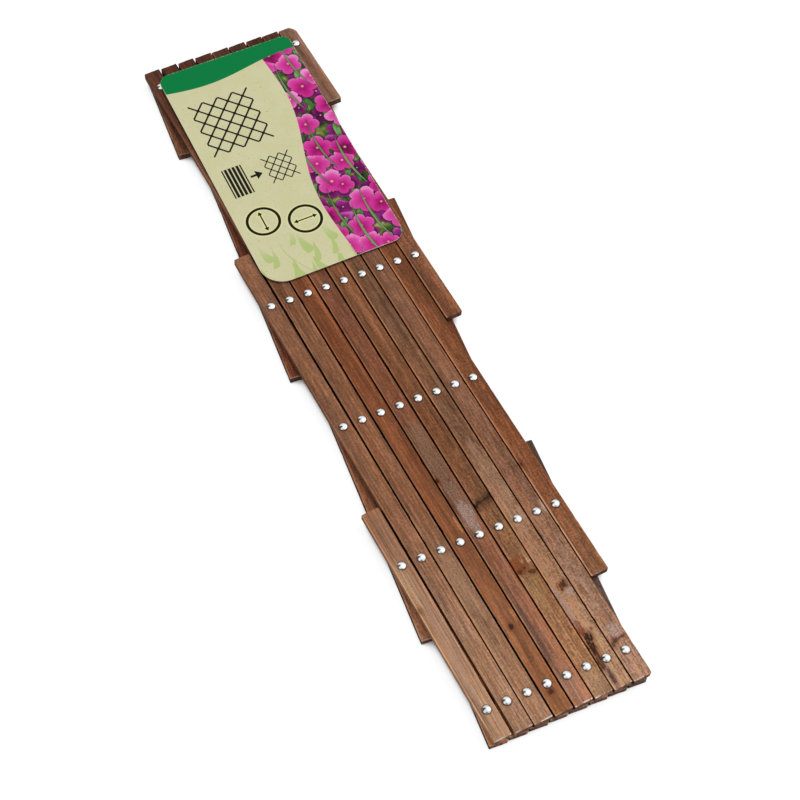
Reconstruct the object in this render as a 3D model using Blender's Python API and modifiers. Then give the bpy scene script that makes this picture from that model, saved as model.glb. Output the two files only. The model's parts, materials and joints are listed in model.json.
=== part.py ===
"""Expanding garden trellis, folded flat: two crossed layers of wooden slats on rivets, with a printed card.

The trellis lies on its back on the ground plane. X runs across it, Y along it with the card at the +Y
end, and Z up through its thickness. Lengths are in metres.

Every slat of a layer lies parallel to the others of its layer. Rivets sit in rows across the trellis,
and a slat passes through one rivet of each row that it crosses. Rows are counted from the +Y end, and
columns from the -X side, in half steps: each second row is set over by half a column.
"""

import math

import bmesh
import bpy
from mathutils import Matrix, Vector

# Slats
SLAT_WIDTH = 0.0176
SLAT_THICKNESS = 0.0075
SLAT_EASING = 0.0006
SLAT_GAP = 0.0013
LAYER_GAP = 0.0003

# Lattice
RIVET_SPACING = 0.150
ROWS = 6
LONG_ROW_RIVETS = 9

# How far a slat runs past its last rivet. A side end is named by how many rivets its slat takes.
TOP_END = 0.024
BOTTOM_END = 0.0285
FRONT_SIDE_END_1 = 0.088
FRONT_SIDE_END_2 = 0.061
FRONT_SIDE_END_3 = 0.079
FRONT_SIDE_END_4 = 0.066
FRONT_SIDE_END_5 = 0.0765
BACK_SIDE_END_1 = 0.087
BACK_SIDE_END_2 = 0.0725
BACK_SIDE_END_3 = 0.079
BACK_SIDE_END_4 = 0.0785
BACK_SIDE_END_5 = 0.070

# Rivets
SHANK_RADIUS = 0.0022
HEAD_RADIUS = 0.0037
HEAD_HEIGHT = 0.0017
HEAD_RIM = 0.0004
TAIL_RADIUS = 0.0036
TAIL_HEIGHT = 0.0010
RIVET_CLEARANCE = 0.0003
ROUND_SIDES = 10
DOME_STEPS = 2

# Printed card
CARD_WIDTH = 0.147
CARD_LENGTH = 0.291
CARD_THICKNESS = 0.0006
CARD_CLEARANCE = 0.0003
CARD_TILT = math.radians(1.2)
CARD_ABOVE_TOP_RIVETS = 0.0115
CARD_SHIFT = 0.0005
TOP_RIGHT_CORNER = 0.009
TOP_LEFT_CORNER = 0.012
BOTTOM_LEFT_CORNER = 0.024
BOTTOM_RIGHT_CORNER = 0.014
CORNER_STEPS = 5

# The lattice folded until its slats lie side by side
HALF_ANGLE = math.asin((SLAT_WIDTH + SLAT_GAP) / RIVET_SPACING) / 2
PITCH = 2 * RIVET_SPACING * math.sin(HALF_ANGLE)
ROW_SPACING = RIVET_SPACING * math.cos(HALF_ANGLE)
FRONT_BASE = SLAT_THICKNESS + LAYER_GAP
FRONT_FACE = FRONT_BASE + SLAT_THICKNESS
HEAD_BASE = FRONT_FACE + RIVET_CLEARANCE
TAIL_TOP = RIVET_CLEARANCE + TAIL_HEIGHT
COUNTERBORE_DEPTH = TAIL_TOP + RIVET_CLEARANCE
CARD_BASE = HEAD_BASE + HEAD_HEIGHT + CARD_CLEARANCE

SIDE_ENDS = {
    "front": {
        1: FRONT_SIDE_END_1,
        2: FRONT_SIDE_END_2,
        3: FRONT_SIDE_END_3,
        4: FRONT_SIDE_END_4,
        5: FRONT_SIDE_END_5,
    },
    "back": {
        1: BACK_SIDE_END_1,
        2: BACK_SIDE_END_2,
        3: BACK_SIDE_END_3,
        4: BACK_SIDE_END_4,
        5: BACK_SIDE_END_5,
    },
}

# A slat is named by the column where its line meets row 0
FRONT_COLUMNS = range(-2, LONG_ROW_RIVETS)
BACK_COLUMNS = range(0, LONG_ROW_RIVETS + 2)
FIXED_FRONT = 3
LEFT_BACK = 3
RIGHT_BACK = 8
LEFT_FRONT = 0
RIGHT_FRONT = 6
CARD_ROWS = 2


def clear_scene():
    for obj in list(bpy.data.objects):
        bpy.data.objects.remove(obj, do_unlink=True)


def new_collection(name, hidden=False):
    collection = bpy.data.collections.new(name)
    collection.hide_render = hidden
    bpy.context.scene.collection.children.link(collection)
    return collection


def material(name, color, roughness, metallic=0.0):
    made = bpy.data.materials.new(name)
    made.use_nodes = True
    made.diffuse_color = (*color, 1.0)
    shader = made.node_tree.nodes["Principled BSDF"]
    shader.inputs["Base Color"].default_value = (*color, 1.0)
    shader.inputs["Roughness"].default_value = roughness
    shader.inputs["Metallic"].default_value = metallic
    return made


def column_of(layer, index, row):
    """The column at which a slat crosses a row: front slats lean one way and back slats the other."""
    return index + row / 2 if layer == "front" else index - row / 2


def rows_of(layer, index):
    """The rows whose rivets a slat takes, from the top."""
    return [row for row in range(ROWS) if 0 <= column_of(layer, index, row) <= LONG_ROW_RIVETS - 1]


def rivet_point(column, row):
    """The place of a rivet, measured from the middle of the lattice."""
    across = (column - (LONG_ROW_RIVETS - 1) / 2) * PITCH
    return Vector((across, ((ROWS - 1) / 2 - row) * ROW_SPACING, 0.0))


def hinge_row(layer, index):
    """The row of the rivet on which a slat turns against the slat that carries it.

    One front slat stays still. The back slats that cross it turn on it, the other front slats turn on
    the outer two of those, and the short back slats at the sides turn on two of these front slats.
    """
    if layer == "front":
        carrier = FIXED_FRONT if index == FIXED_FRONT else LEFT_BACK if index < FIXED_FRONT else RIGHT_BACK
        return carrier - index
    if index < LEFT_BACK:
        return index - LEFT_FRONT
    return index - (RIGHT_FRONT if index > RIGHT_BACK else FIXED_FRONT)


def lean(layer):
    return HALF_ANGLE if layer == "front" else -HALF_ANGLE


def ends_of(layer, index):
    """The top and bottom of a slat, as distances along it from its hinge rivet."""
    rows = rows_of(layer, index)
    hinge = hinge_row(layer, index)
    side = SIDE_ENDS[layer].get(len(rows))
    top = TOP_END if rows[0] == 0 else side
    bottom = BOTTOM_END if rows[-1] == ROWS - 1 else side
    return (hinge - rows[0]) * RIVET_SPACING + top, (hinge - rows[-1]) * RIVET_SPACING - bottom


def slat_matrix(layer, index):
    row = hinge_row(layer, index)
    place = rivet_point(column_of(layer, index, row), row)
    place.z = FRONT_BASE if layer == "front" else 0.0
    return Matrix.Translation(place) @ Matrix.Rotation(lean(layer), 4, "Z")


def lattice_center():
    """The middle of the box around all slats, which becomes the origin."""
    corners = []
    for layer, columns in (("front", FRONT_COLUMNS), ("back", BACK_COLUMNS)):
        for index in columns:
            for end in ends_of(layer, index):
                for side in (-SLAT_WIDTH / 2, SLAT_WIDTH / 2):
                    corners.append(slat_matrix(layer, index) @ Vector((side, end, 0.0)))
    across = [corner.x for corner in corners]
    along = [corner.y for corner in corners]
    return Vector(((min(across) + max(across)) / 2, (min(along) + max(along)) / 2, 0.0))


def profile_mesh(name, points):
    """An open outline beside the Z axis, given from its top to its bottom, for turning."""
    made = bmesh.new()
    verts = [made.verts.new((radius, 0.0, height)) for radius, height in points]
    for first, second in zip(verts, verts[1:]):
        made.edges.new((first, second))
    mesh = bpy.data.meshes.new(name)
    made.to_mesh(mesh)
    made.free()
    return mesh


def rivet_profile():
    """A low dome on a thin rim, the shank, and the clenched tail, with heights from the trellis's back."""
    rim_top = HEAD_BASE + HEAD_RIM
    dome = [
        (HEAD_RADIUS * math.sin(angle), rim_top + (HEAD_HEIGHT - HEAD_RIM) * math.cos(angle))
        for angle in (math.pi / 2 * step / DOME_STEPS for step in range(DOME_STEPS + 1))
    ]
    return dome + [
        (HEAD_RADIUS, HEAD_BASE),
        (SHANK_RADIUS, HEAD_BASE),
        (SHANK_RADIUS, TAIL_TOP),
        (TAIL_RADIUS, TAIL_TOP),
        (TAIL_RADIUS, RIVET_CLEARANCE),
        (0.0, RIVET_CLEARANCE),
    ]


def bore_profile(top, bottom):
    """A plug that clears the shank."""
    radius = SHANK_RADIUS + RIVET_CLEARANCE
    return [(0.0, top), (radius, top), (radius, bottom), (0.0, bottom)]


def counterbore_profile(top, bottom):
    """A plug that clears the shank, and the clenched tail below it."""
    shank = SHANK_RADIUS + RIVET_CLEARANCE
    tail = TAIL_RADIUS + RIVET_CLEARANCE
    return [
        (0.0, top),
        (shank, top),
        (shank, COUNTERBORE_DEPTH),
        (tail, COUNTERBORE_DEPTH),
        (tail, bottom),
        (0.0, bottom),
    ]


def turned(name, mesh, collection, parent, place):
    """A turned body carried by a slat, with its axis on one of the slat's rivets."""
    obj = bpy.data.objects.new(name, mesh)
    collection.objects.link(obj)
    obj.parent = parent
    obj.location = place
    screw = obj.modifiers.new("Turn", "SCREW")
    screw.axis = "Z"
    screw.steps = ROUND_SIDES
    screw.render_steps = ROUND_SIDES
    screw.use_merge_vertices = True
    screw.merge_threshold = 0.00001
    screw.use_smooth_shade = True
    return obj


def tool(name, mesh, parent, place, count, operation):
    """A turned body repeated down the slat, one for each rivet, that cuts the slat or joins it."""
    obj = turned(name, mesh, CUTTERS, parent, place)
    row = obj.modifiers.new("Each rivet", "ARRAY")
    row.use_relative_offset = False
    row.use_constant_offset = True
    row.constant_offset_displace = (0.0, -RIVET_SPACING, 0.0)
    row.count = count
    obj.hide_render = True
    obj.display_type = "WIRE"
    boolean = parent.modifiers.new(name, "BOOLEAN")
    boolean.operation = operation
    boolean.object = obj


def sawn_slat(name, layer, index):
    """A plain sawn lath with eased edges. Its origin is on its hinge rivet, and it runs along its own Y."""
    top, bottom = ends_of(layer, index)
    made = bmesh.new()
    bmesh.ops.create_cube(made, size=1.0)
    bmesh.ops.scale(made, vec=(SLAT_WIDTH, top - bottom, SLAT_THICKNESS), verts=made.verts)
    bmesh.ops.translate(made, vec=(0.0, (top + bottom) / 2, SLAT_THICKNESS / 2), verts=made.verts)
    mesh = bpy.data.meshes.new(name)
    made.to_mesh(mesh)
    made.free()
    mesh.materials.append(WOOD)
    slat = bpy.data.objects.new(name, mesh)
    PARTS.objects.link(slat)
    slat.parent = TRELLIS
    slat.matrix_local = slat_matrix(layer, index)
    easing = slat.modifiers.new("Eased edges", "BEVEL")
    easing.width = SLAT_EASING
    easing.segments = 1
    return slat


def along_slat(layer, index, row):
    return (hinge_row(layer, index) - row) * RIVET_SPACING


def front_slat(number, index):
    """A front slat, with its rivets. Those under the card are one body with it, and the rest stand alone."""
    slat = sawn_slat(f"front_slat_{number:02d}", "front", index)
    to_back = -FRONT_BASE
    rows = rows_of("front", index)
    last = LONG_ROW_RIVETS - 1
    covered = [row for row in rows if row < CARD_ROWS and column_of("front", index, row) < last]
    visible = [row for row in rows if row not in covered]
    if covered:
        place = (0.0, along_slat("front", index, covered[0]), to_back)
        tool(f"joined_rivets_{number:02d}", RIVET_MESH, slat, place, len(covered), "UNION")
    if visible:
        place = (0.0, along_slat("front", index, visible[0]), to_back)
        tool(f"front_bores_{number:02d}", FRONT_BORE_MESH, slat, place, len(visible), "DIFFERENCE")
    for row in visible:
        place = (0.0, along_slat("front", index, row), to_back)
        name = f"rivet_row{row + 1}_{int(column_of('front', index, row)) + 1}"
        turned(name, RIVET_MESH, PARTS, slat, place)


def back_slat(number, index):
    """A back slat, counterbored from behind so that the clenched tails lie below its face."""
    slat = sawn_slat(f"back_slat_{number:02d}", "back", index)
    rows = rows_of("back", index)
    place = (0.0, along_slat("back", index, rows[0]), 0.0)
    tool(f"back_bores_{number:02d}", BACK_BORE_MESH, slat, place, len(rows), "DIFFERENCE")


def card_outline():
    """The card's rounded outline, anticlockwise from its upper right corner, about its own middle."""
    half_width = CARD_WIDTH / 2
    half_length = CARD_LENGTH / 2
    corners = (
        (TOP_RIGHT_CORNER, 1, 1, 0.0),
        (TOP_LEFT_CORNER, -1, 1, math.pi / 2),
        (BOTTOM_LEFT_CORNER, -1, -1, math.pi),
        (BOTTOM_RIGHT_CORNER, 1, -1, 3 * math.pi / 2),
    )
    points = []
    for radius, side, end, start in corners:
        center = (side * (half_width - radius), end * (half_length - radius))
        for step in range(CORNER_STEPS + 1):
            angle = start + math.pi / 2 * step / CORNER_STEPS
            points.append((center[0] + radius * math.cos(angle), center[1] + radius * math.sin(angle)))
    return points


def printed_card():
    """The stiff printed card that lies over the top rivets."""
    curve = bpy.data.curves.new("label_card", "CURVE")
    curve.dimensions = "2D"
    curve.fill_mode = "BOTH"
    curve.extrude = CARD_THICKNESS / 2
    points = card_outline()
    spline = curve.splines.new("POLY")
    spline.points.add(len(points) - 1)
    for point, (x, y) in zip(spline.points, points):
        point.co = (x, y, 0.0, 1.0)
    spline.use_cyclic_u = True
    curve.materials.append(CARD)
    card = bpy.data.objects.new("label_card", curve)
    PARTS.objects.link(card)
    card.parent = TRELLIS
    top = rivet_point(0, 0).y + CARD_ABOVE_TOP_RIVETS
    card.location = (CARD_SHIFT, top - CARD_LENGTH / 2, CARD_BASE + CARD_THICKNESS / 2)
    card.rotation_euler = (0.0, 0.0, CARD_TILT)


clear_scene()
PARTS = new_collection("expanding_trellis")
CUTTERS = new_collection("cutters", hidden=True)

WOOD = material("stained_wood", (0.15, 0.06, 0.028), 0.62)
METAL = material("rivet_metal", (0.78, 0.77, 0.74), 0.25, 1.0)
CARD = material("printed_card", (0.55, 0.56, 0.32), 0.5)

RIVET_MESH = profile_mesh("rivet", rivet_profile())
RIVET_MESH.materials.append(METAL)
FRONT_BORE_MESH = profile_mesh("front_bore", bore_profile(FRONT_FACE + LAYER_GAP, FRONT_BASE - LAYER_GAP / 2))
BACK_BORE_MESH = profile_mesh("back_bore", counterbore_profile(FRONT_BASE, -LAYER_GAP))

TRELLIS = bpy.data.objects.new("trellis", None)
PARTS.objects.link(TRELLIS)
TRELLIS.location = -lattice_center()

for count, column in enumerate(FRONT_COLUMNS, 1):
    front_slat(count, column)
for count, column in enumerate(BACK_COLUMNS, 1):
    back_slat(count, column)
printed_card()
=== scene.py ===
"""The looks of a folded expanding trellis: stained laths, bright rivets and a printed card."""

import json
import math

import bmesh
import bpy
from mathutils import Matrix, Quaternion, Vector, noise


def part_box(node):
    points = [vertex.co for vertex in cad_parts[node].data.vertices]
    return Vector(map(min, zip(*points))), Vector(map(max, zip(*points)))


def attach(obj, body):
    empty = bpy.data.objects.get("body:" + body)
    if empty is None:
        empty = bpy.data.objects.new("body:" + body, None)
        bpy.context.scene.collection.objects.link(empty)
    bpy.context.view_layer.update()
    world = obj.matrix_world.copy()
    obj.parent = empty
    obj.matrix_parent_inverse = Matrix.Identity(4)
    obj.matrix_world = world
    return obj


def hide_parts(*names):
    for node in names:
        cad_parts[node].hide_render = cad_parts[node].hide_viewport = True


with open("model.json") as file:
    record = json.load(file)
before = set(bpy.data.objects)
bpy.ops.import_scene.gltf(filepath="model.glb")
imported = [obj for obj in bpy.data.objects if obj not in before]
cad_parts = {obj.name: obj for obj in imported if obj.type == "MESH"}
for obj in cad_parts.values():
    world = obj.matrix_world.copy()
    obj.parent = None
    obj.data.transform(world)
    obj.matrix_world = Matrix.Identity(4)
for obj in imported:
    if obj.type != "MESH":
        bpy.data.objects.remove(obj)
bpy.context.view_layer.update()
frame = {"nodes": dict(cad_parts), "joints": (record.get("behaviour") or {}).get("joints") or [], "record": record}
bpy.context.scene.view_settings.view_transform = "Standard"


# Camera: it stands above the near end and to the left, and looks down at about sixty degrees, turned a
# little about its own axis, so that the trellis lies across the picture from upper left to lower right.
CAMERA_ROLL = math.radians(2.647)
camera = bpy.data.objects.new("camera", bpy.data.cameras.new("camera"))
bpy.context.scene.collection.objects.link(camera)
bpy.context.scene.camera = camera
stand = Vector((-0.3798, -0.8035, 1.3852))
look_at = Vector((-0.0067, -0.0675, 0.0153))
camera.location = stand
camera.rotation_mode = "QUATERNION"
ahead = (look_at - stand).to_track_quat("-Z", "Y")
camera.rotation_quaternion = ahead @ Quaternion((0, 0, 1), CAMERA_ROLL)
camera.data.sensor_width = 36
camera.data.lens = 77.64
camera.data.clip_start = 0.05
camera.data.clip_end = 50


# Studio: a white paper floor under a white tent, with one broad lamp to the right that throws a faint
# shadow to the left. Polished metal mirrors what is dark in the tent: its opening as a wedge, the stand of
# the camera, and the walls low down.
class Signal:
    """An output socket in a node tree. Sums on signals add Math nodes, and node() adds any other node."""

    def __init__(self, socket):
        self.socket = socket

    def node(self, kind, settings=(), sockets=()):
        """Adds a node to this signal's tree: settings first, then numbers or signals for its sockets."""
        tree = self.socket.id_data
        made = tree.nodes.new("ShaderNode" + kind)
        for name, value in dict(settings).items():
            if name == "stops":
                elements = made.color_ramp.elements
                while len(elements) < len(value):
                    elements.new(0.5)
                for element, (place, color) in zip(elements, value):
                    element.position, element.color = place, color
            else:
                setattr(made, name, value)
        for name, value in dict(sockets).items():
            inputs = [socket for socket in made.inputs if socket.enabled]
            target = inputs[name] if isinstance(name, int) else next(s for s in inputs if s.name == name)
            if isinstance(value, Signal):
                tree.links.new(value.socket, target)
            else:
                target.default_value = value
        return Signal(next(socket for socket in made.outputs if socket.enabled))

    def math(self, operation, *others):
        return self.node("Math", {"operation": operation}, enumerate((self, *others)))

    def __add__(self, other):
        return self.math("ADD", other)

    def __sub__(self, other):
        return self.math("SUBTRACT", other)

    def __mul__(self, other):
        return self.math("MULTIPLY", other)

    def __truediv__(self, other):
        return self.math("DIVIDE", other)

    def __pow__(self, other):
        return self.math("POWER", other)

    def __rsub__(self, other):
        return self.math("MULTIPLY_ADD", -1.0, other)

    def __abs__(self):
        return self.math("ABSOLUTE")

    __radd__ = __add__
    __rmul__ = __mul__

    def rise(self, low, high):
        """0 below low and 1 above high, with a smooth step between; falls instead where low is above high."""
        limits = {"Value": self, "From Min": low, "From Max": high}
        return self.node("MapRange", {"interpolation_type": "SMOOTHSTEP"}, limits)

    def split(self):
        axes = self.node("SeparateXYZ", (), {"Vector": self})
        outputs = axes.socket.node.outputs
        return Signal(outputs["X"]), Signal(outputs["Y"]), Signal(outputs["Z"])

    def dot(self, axis):
        """How far this direction leans along an axis."""
        return self.node("VectorMath", {"operation": "DOT_PRODUCT"}, {0: self, 1: axis})

    def mapped(self, vector_type="POINT", **sockets):
        """This place moved, turned and scaled."""
        return self.node("Mapping", {"vector_type": vector_type}, {"Vector": self, **sockets})

    def speckle(self, scale, detail):
        """Cloudy noise about 0.5, laid over this place."""
        return self.node("TexNoise", (), {"Vector": self, "Scale": scale, "Detail": detail})

    def bump(self, strength, distance):
        """Normals bent as if this signal were the surface's height."""
        return self.node("Bump", (), {"Strength": strength, "Distance": distance, "Height": self})

    def between(self, first, second, blend="MIX"):
        """This signal as the share of the second colour laid over the first."""
        colors = {"Factor": self, "A": first, "B": second}
        return self.node("Mix", {"data_type": "RGBA", "blend_type": blend}, colors)

    def ramp(self, stops):
        """The colour at this signal's value, between stops of (value, colour)."""
        return self.node("ValToRGB", {"stops": stops}, {"Fac": self})


def rgb(red, green, blue):
    """A colour from its screen values, 0 to 255, as the shaders want it."""
    shares = (value / 255 for value in (red, green, blue))
    return *(v / 12.92 if v < 0.0405 else ((v + 0.055) / 1.055) ** 2.4 for v in shares), 1.0


def faded(color, share):
    """A colour darkened to a share of its light."""
    return tuple(share * value for value in color[:3]) + (1.0,)


def seen_directly(tree):
    """1 for the camera and for reflections, 0 for the light that falls on the object."""
    path = tree.nodes.new("ShaderNodeLightPath")
    rays = (Signal(path.outputs[f"Is {kind} Ray"]) for kind in ("Camera", "Glossy", "Transmission"))
    camera_ray, glossy, through = rays
    return camera_ray.math("MAXIMUM", glossy).math("MAXIMUM", through)


TENT_LIGHT = 0.72
OPENING_FROM = Vector((0.233, 0.460, 0.857))
OPENING_TOWARDS = Vector((-0.909, 0.416, -0.024))
OPENING_SPREAD = 0.54
OPENING_OFF_LINE = 0.10
STAND_FROM = Vector((-0.25, -0.60, 0.76))
STAND_DARKNESS = 0.85
LOW_DARKNESS = 0.65
LIGHT_LOST = 0.93
world = bpy.data.worlds.new("studio tent")
bpy.context.scene.world = world
world.use_nodes = True
tree = world.node_tree
tent = tree.nodes["Background"]
tent.inputs["Color"].default_value = (1.0, 1.0, 1.0, 1.0)
path = tree.nodes.new("ShaderNodeLightPath")
direction = Signal(tree.nodes.new("ShaderNodeTexCoord").outputs["Generated"])
aside = direction.dot(OPENING_TOWARDS)
beyond = direction.dot(OPENING_FROM.cross(OPENING_TOWARDS))
wedge = (abs(beyond - OPENING_OFF_LINE) - aside * OPENING_SPREAD).rise(0.12, -0.10)
opening = wedge * aside.rise(0.02, 0.30)
by_the_camera = direction.dot(STAND_FROM).rise(0.90, 0.97) * STAND_DARKNESS
_, _, height = direction.split()
low_walls = height.rise(0.52, 0.16) * LOW_DARKNESS
dark = opening.math("MAXIMUM", by_the_camera).math("MAXIMUM", low_walls)
mirrored = dark * Signal(path.outputs["Is Glossy Ray"])
strength = seen_directly(tree).math("MAXIMUM", TENT_LIGHT) * (1 - mirrored * LIGHT_LOST)
tree.links.new(strength.socket, tent.inputs["Strength"])

FLOOR_SIZE = 8.0
FLOOR_DROP = 0.0002
GLOW = 1.12
GLOW_SHARE = 0.78
SHADE_REACH = 0.03
made = bmesh.new()
bmesh.ops.create_grid(made, x_segments=1, y_segments=1, size=FLOOR_SIZE / 2)
bmesh.ops.translate(made, vec=(0, 0, -FLOOR_DROP), verts=made.verts)
floor = bpy.data.objects.new("paper_floor", bpy.data.meshes.new("paper_floor"))
made.to_mesh(floor.data)
made.free()
bpy.context.scene.collection.objects.link(floor)
paper = bpy.data.materials.new("white paper")
paper.use_nodes = True
tree = paper.node_tree
shader = tree.nodes["Principled BSDF"]
shader.inputs["Base Color"].default_value = (0.80, 0.82, 0.84, 1.0)
shader.inputs["Roughness"].default_value = 0.9
glow = tree.nodes.new("ShaderNodeEmission")
glow.inputs["Strength"].default_value = GLOW
mixed = tree.nodes.new("ShaderNodeMixShader")
openness = tree.nodes.new("ShaderNodeAmbientOcclusion")
openness.inputs["Distance"].default_value = SHADE_REACH
in_the_open = Signal(openness.outputs["AO"]).rise(0.25, 0.6)
tree.links.new((seen_directly(tree) * in_the_open * GLOW_SHARE).socket, mixed.inputs[0])
tree.links.new(shader.outputs[0], mixed.inputs[1])
tree.links.new(glow.outputs[0], mixed.inputs[2])
tree.links.new(mixed.outputs[0], tree.nodes["Material Output"].inputs["Surface"])
floor.data.materials.append(paper)

LAMP_SHARE = 1 - TENT_LIGHT
LAMP_ELEVATION = math.radians(62)
LAMP_AZIMUTH = math.radians(12)
LAMP_BREADTH = math.radians(34)
lamp = bpy.data.objects.new("broad lamp", bpy.data.lights.new("broad lamp", "SUN"))
bpy.context.scene.collection.objects.link(lamp)
lamp.data.energy = LAMP_SHARE * math.pi / math.sin(LAMP_ELEVATION)
lamp.data.angle = LAMP_BREADTH
lamp.rotation_mode = "QUATERNION"
lamp_from = Vector((
    math.cos(LAMP_AZIMUTH) * math.cos(LAMP_ELEVATION),
    math.sin(LAMP_AZIMUTH) * math.cos(LAMP_ELEVATION),
    math.sin(LAMP_ELEVATION),
))
lamp.rotation_quaternion = lamp_from.to_track_quat("Z", "Y")


# Slats: twenty-two laths sawn from softwood and dipped in brown stain. The front layer leans one way and
# the back layer the other. Their arrises are worn paler, with a painted highlight on the left ones, their
# ends are rough from the saw, and each is bored for its rivets, with a deeper pocket at the back where the
# rivet's tail is clenched.
ARRIS = 0.0005
END_ARRIS = 0.0004
WAVER_STEP = 0.004
FACE_STRIPS = 6
WAVER = 0.00016
DIP = 0.00012
NICK_IN = 0.0012
NICK_DOWN = 0.0010
NICK_FROM = 0.28
SWELL_FROM = 0.22
SAW_MARK = 0.0006
SAW_MARK_REACH = 0.002
CHIP = 0.0007
CHIP_VARIES = 0.0006
END_ZONE = 0.012
BORE_RADIUS = 0.0025
POCKET_RADIUS = 0.0039
POCKET_DEPTH = 0.0016
ROUND_STEPS = 24
OVERCUT = 0.001
ON_LINE = 0.001
ROWS = 6
LONG_ROW = 9
SEED_STEP = 1.37
BACK_SEED = 40
PLANED = (0.0001, 0.0001)

rivet_low, rivet_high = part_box("rivet_row3_1")
known_rivets = ("rivet_row3_1", "rivet_row3_2", "rivet_row5_1")
third_row, beside_it, fifth_row = (sum(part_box(name), Vector()) / 2 for name in known_rivets)
column_step = beside_it - third_row
row_step = (fifth_row - third_row) / 2
rivet_spacing = (column_step / 2 + row_step).length


def rivet_axes():
    """The row, column and axis of every rivet. Each second row has one less, and starts half a step over."""
    for row in range(1, ROWS + 1):
        short = (row + 1) % 2
        for column in range(1, LONG_ROW + 1 - short):
            place = third_row + column_step * (column + short / 2 - 1) + row_step * (row - 3)
            yield row, column, Vector((place.x, place.y, 0.0))


def slat_frame(node, lean):
    """The middle of a slat's underside, its width and its length, read off its solid along its own lean."""
    turn = Matrix.Rotation(-lean, 3, "Z")
    corners = [turn @ vert.co for vert in frame["nodes"][node].data.vertices]
    low, high = (Vector(map(pick, zip(*corners))) for pick in (min, max))
    middle = turn.inverted() @ Vector(((low.x + high.x) / 2, (low.y + high.y) / 2, 0.0))
    return middle, high.x - low.x, high.y - low.y


def lathe(made, outline, middle, steps):
    """Turns an outline of (radius, height) pairs, from the top down, into a closed round body."""
    verts = [made.verts.new((middle.x + radius, middle.y, middle.z + height)) for radius, height in outline]
    profile = verts + [made.edges.new(pair) for pair in zip(verts, verts[1:])]
    bmesh.ops.spin(
        made, geom=profile, cent=middle, axis=(0, 0, 1), angle=math.tau, steps=steps, use_merge=True,
    )
    bmesh.ops.remove_doubles(made, verts=made.verts, dist=0.000001)
    bmesh.ops.recalc_face_normals(made, faces=made.faces)


def finished(name, made, body, sharp=35):
    """A piece of the object from its mesh, with smooth rounds and crisp edges, riding on its body."""
    piece = bpy.data.objects.new(name, bpy.data.meshes.new(name))
    made.to_mesh(piece.data)
    made.free()
    piece.data.shade_smooth()
    piece.data.set_sharp_from_angle(angle=math.radians(sharp))
    bpy.context.scene.collection.objects.link(piece)
    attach(piece, body)
    return piece


def edges_along(made, axis, longer):
    """The edges that run along an axis, 0 to 2, and are longer than a length."""
    return [edge for edge in made.edges if abs((edge.verts[0].co - edge.verts[1].co)[axis]) > longer]


def rounded(made, edges, offset, segments):
    """Rounds edges off; with one segment they get a plain chamfer."""
    bmesh.ops.bevel(
        made, geom=edges, offset=offset, segments=segments, profile=0.5, affect="EDGES", material=-1,
    )


def wander(*place):
    """A number from 0 to 1 that changes smoothly from place to place."""
    return 0.5 + 0.5 * noise.noise(Vector(place))


def lath(width, length, thickness, seed, shy=(PLANED, PLANED), swell=(0.0, 0.0), chips=()):
    """A sawn lath about its own middle, lying along Y, with wavering sides and chipped ends. Shy is how much
    is planed off the left and the right side, each at the foot and at the top, and swell is how much of that
    each side keeps at the top. Chips gives the size of single chipped corners, by side and end."""
    chips = dict(chips)
    made = bmesh.new()
    bmesh.ops.create_cube(made, size=1.0)
    bmesh.ops.scale(made, vec=(width, length, thickness), verts=made.verts)
    bmesh.ops.translate(made, vec=(0, 0, thickness / 2), verts=made.verts)
    rounded(made, edges_along(made, 1, length / 2), ARRIS, 3)
    rims = [edge for face in made.faces if abs(face.normal.y) > 0.9 for edge in face.edges]
    rounded(made, rims, END_ARRIS, 2)
    bmesh.ops.subdivide_edges(made, edges=edges_along(made, 0, width / 2), cuts=FACE_STRIPS - 1)
    bmesh.ops.subdivide_edges(made, edges=edges_along(made, 1, length / 2), cuts=int(length / WAVER_STEP))
    for vert in made.verts:
        x, y, z = vert.co
        side = 1 if x > 0 else -1
        flank = abs(x) / (width / 2)
        waver = wander(y * 9, side * 3.1, seed)
        nick = max(0.0, noise.noise(Vector((y * 170, side * 7.7 + z * 300, seed))) - NICK_FROM)
        corner = flank ** 6 * (2 * abs(z / thickness - 0.5)) ** 4
        foot, top = shy[side > 0]
        kept = swell[side > 0] * max(0.0, (y / length - SWELL_FROM) / (0.5 - SWELL_FROM))
        planed = foot + (top - foot) * (y / length + 0.5) - kept
        vert.co.x -= side * (flank * (planed + WAVER * waver) + corner * nick * NICK_IN)
        dip = wander(x * 260, y * 16, seed + 5)
        vert.co.z += (DIP * dip + corner * nick * NICK_DOWN) * (1 if z < thickness / 2 else -1)
        # Near an end the saw has left marks, and the corners are chipped off at 45 degrees.
        end = 1 if y > 0 else -1
        left_over = length / 2 - abs(y)
        if left_over < END_ZONE:
            saw = wander(x * 380, z * 240, seed + 9 * end)
            vert.co.y -= end * saw * SAW_MARK * max(0.0, 1 - left_over / SAW_MARK_REACH)
            usual = CHIP + CHIP_VARIES * noise.noise(Vector((seed, side, end)))
            ragged = 1 + 0.25 * noise.noise(Vector((x * 500, y * 500, z * 200)))
            bite = chips.get((side, end), usual) * ragged - (width / 2 - abs(x)) - left_over
            if bite > 0:
                vert.co.x -= side * bite / 2
                vert.co.y -= end * bite / 2
    return made


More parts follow.
